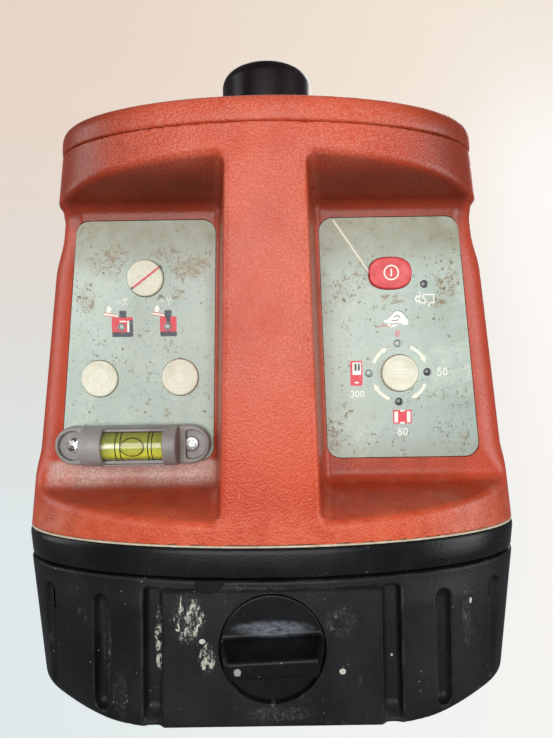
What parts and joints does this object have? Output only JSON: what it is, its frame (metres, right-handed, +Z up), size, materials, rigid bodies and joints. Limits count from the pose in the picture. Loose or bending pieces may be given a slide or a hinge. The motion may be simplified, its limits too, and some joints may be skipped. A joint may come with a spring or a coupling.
{
  "type": "rotating laser level",
  "caption": "Self-levelling rotary laser level: rounded red casing with recessed keypads, bubble vial, spinning black head, rear carry handle, turn-lock battery base with tripod thread.",
  "frame": {"origin": "on the axis of the tripod thread and of the rotating head, in the plane of the feet", "axes": "+Z up along the head's axis, -Y towards the keypads and lock knob, +X to the viewer's right when facing the keypads"},
  "size_m": [0.1552, 0.1993, 0.2085],
  "materials": {
    "casing_red": "pebbled, worn",
    "cap_red": "satin",
    "foot_black": "fine grain, scuffed",
    "frame_black": "satin",
    "rubber_black": "matt",
    "gasket_cream": "matt",
    "foil_grey": "satin foil, dirty",
    "key_white": "satin",
    "key_red": "satin",
    "lamp_grey": "smoked",
    "holder_grey": "satin",
    "vial_yellow": "clear, liquid filled",
    "bubble_clear": "clear",
    "steel": "plated",
    "alloy": "die-cast",
    "board_green": "lacquered",
    "brass": "turned",
    "belt_black": "matt",
    "lens_clear": "coated",
    "window_dark": "tinted",
    "head_black": "satin",
    "nut_white": "low-friction plastic",
    "sensor_cream": "satin",
    "cell_sleeve": "shrink sleeve"
  },
  "bodies": {
    "housing": {"front_casing": "casing_red", "rear_cover": "casing_red", "top_cap": "cap_red", "base_gasket": "gasket_cream", "base_frame": "frame_black", "carry_handle": "foot_black", "handle_grip": "rubber_black", "handle_screws": "steel", "rear_pads": "rubber_black", "head_collar": "rubber_black", "casing_screws": "steel", "frame_screws": "steel", "left_keypad": "foil_grey", "right_keypad": "foil_grey", "lamp_lenses": "lamp_grey", "key_boards": "board_green", "key_switches": "lamp_grey", "vial_holder": "holder_grey", "vial_tube": "vial_yellow", "vial_bubble": "bubble_clear", "vial_screws": "steel", "chassis": "alloy", "main_board": "board_green", "level_motors": "steel", "supply_contacts": "brass", "latch_keeper": "steel"},
    "cancel_key": {"cancel_key": "key_white"},
    "axis_key_x": {"axis_key_x": "key_white"},
    "axis_key_y": {"axis_key_y": "key_white"},
    "power_key": {"power_key": "key_red"},
    "speed_key": {"speed_key": "key_white"},
    "gimbal": {"gimbal_ring": "alloy", "ring_pivots": "steel"},
    "laser_unit": {"laser_carrier": "alloy", "carrier_pivots": "steel", "laser_module": "brass", "laser_lens": "lens_clear", "tilt_sensors": "sensor_cream", "spin_motor": "steel", "drive_belt": "belt_black", "rotor_bearings": "steel"},
    "rotor": {"rotor_shaft": "alloy", "rotor_pulley": "belt_black", "head_cap": "head_black", "head_window": "window_dark", "head_prism": "lens_clear"},
    "motor_pulley": {"motor_pulley": "brass"},
    "level_screw_x": {"level_screw_x": "brass"},
    "level_screw_y": {"level_screw_y": "brass"},
    "level_nut_x": {"level_nut_x": "nut_white"},
    "level_nut_y": {"level_nut_y": "nut_white"},
    "battery": {"battery_housing": "foot_black", "battery_cells": "cell_sleeve", "cell_contacts": "steel", "tripod_insert": "brass", "battery_feet": "rubber_black", "battery_lid": "foot_black"},
    "knob": {"lock_knob": "foot_black", "lock_cam": "steel"}
  },
  "joints": [
    {"name": "cancel_key_press", "type": "slide", "parent": "housing", "child": "cancel_key", "axis": [0, 1, 0], "range_m": [0, 0.0006], "stiffness_N_per_m": 2500, "springref_m": -0.0002},
    {"name": "axis_key_x_press", "type": "slide", "parent": "housing", "child": "axis_key_x", "axis": [0, 1, 0], "range_m": [0, 0.0006], "stiffness_N_per_m": 2500, "springref_m": -0.0002},
    {"name": "axis_key_y_press", "type": "slide", "parent": "housing", "child": "axis_key_y", "axis": [0, 1, 0], "range_m": [0, 0.0006], "stiffness_N_per_m": 2500, "springref_m": -0.0002},
    {"name": "power_key_press", "type": "slide", "parent": "housing", "child": "power_key", "axis": [0, 1, 0], "range_m": [0, 0.0006], "stiffness_N_per_m": 2500, "springref_m": -0.0002},
    {"name": "speed_key_press", "type": "slide", "parent": "housing", "child": "speed_key", "axis": [0, 1, 0], "range_m": [0, 0.0006], "stiffness_N_per_m": 2500, "springref_m": -0.0002},
    {"name": "tilt_x", "type": "hinge", "parent": "housing", "child": "gimbal", "pos_m": [0, 0, 0.118], "axis": [1, 0, 0], "range_deg": [-5, 5]},
    {"name": "tilt_y", "type": "hinge", "parent": "gimbal", "child": "laser_unit", "pos_m": [0, 0, 0.118], "axis": [0, 1, 0], "range_deg": [-5, 5]},
    {"name": "head_spin", "type": "hinge", "parent": "laser_unit", "child": "rotor", "pos_m": [0, 0, 0.151], "axis": [0, 0, 1], "continuous": true},
    {"name": "motor_pulley_spin", "type": "hinge", "parent": "laser_unit", "child": "motor_pulley", "pos_m": [0, 0.03, 0.151], "axis": [0, 0, 1], "continuous": true},
    {"name": "nut_x_climb", "type": "slide", "parent": "housing", "child": "level_nut_x", "axis": [0, 0, 1], "range_m": [-0.0035, 0.0035]},
    {"name": "nut_y_climb", "type": "slide", "parent": "housing", "child": "level_nut_y", "axis": [0, 0, 1], "range_m": [-0.0035, 0.0035]},
    {"name": "screw_x_turn", "type": "hinge", "parent": "housing", "child": "level_screw_x", "pos_m": [0, 0.04, 0.08], "axis": [0, 0, 1], "range_deg": [-640, 640]},
    {"name": "screw_y_turn", "type": "hinge", "parent": "housing", "child": "level_screw_y", "pos_m": [0.04, 0, 0.08], "axis": [0, 0, 1], "range_deg": [-640, 640]},
    {"name": "battery_slide", "type": "slide", "parent": "housing", "child": "battery", "axis": [0, 0, 1], "range_m": [-0.06, 0]},
    {"name": "knob_turn", "type": "hinge", "parent": "battery", "child": "knob", "pos_m": [0, -0.0618, 0.021], "axis": [0, -1, 0], "range_deg": [0, 90]}
  ],
  "couplings": [
    {"joint": "motor_pulley_spin", "follows": "head_spin", "ratio": 4.5},
    {"joint": "nut_x_climb", "follows": "tilt_x", "m_per_rad": 0.04},
    {"joint": "nut_y_climb", "follows": "tilt_y", "m_per_rad": -0.04},
    {"joint": "screw_x_turn", "follows": "tilt_x", "ratio": -125.66},
    {"joint": "screw_y_turn", "follows": "tilt_y", "ratio": 125.66}
  ]
}
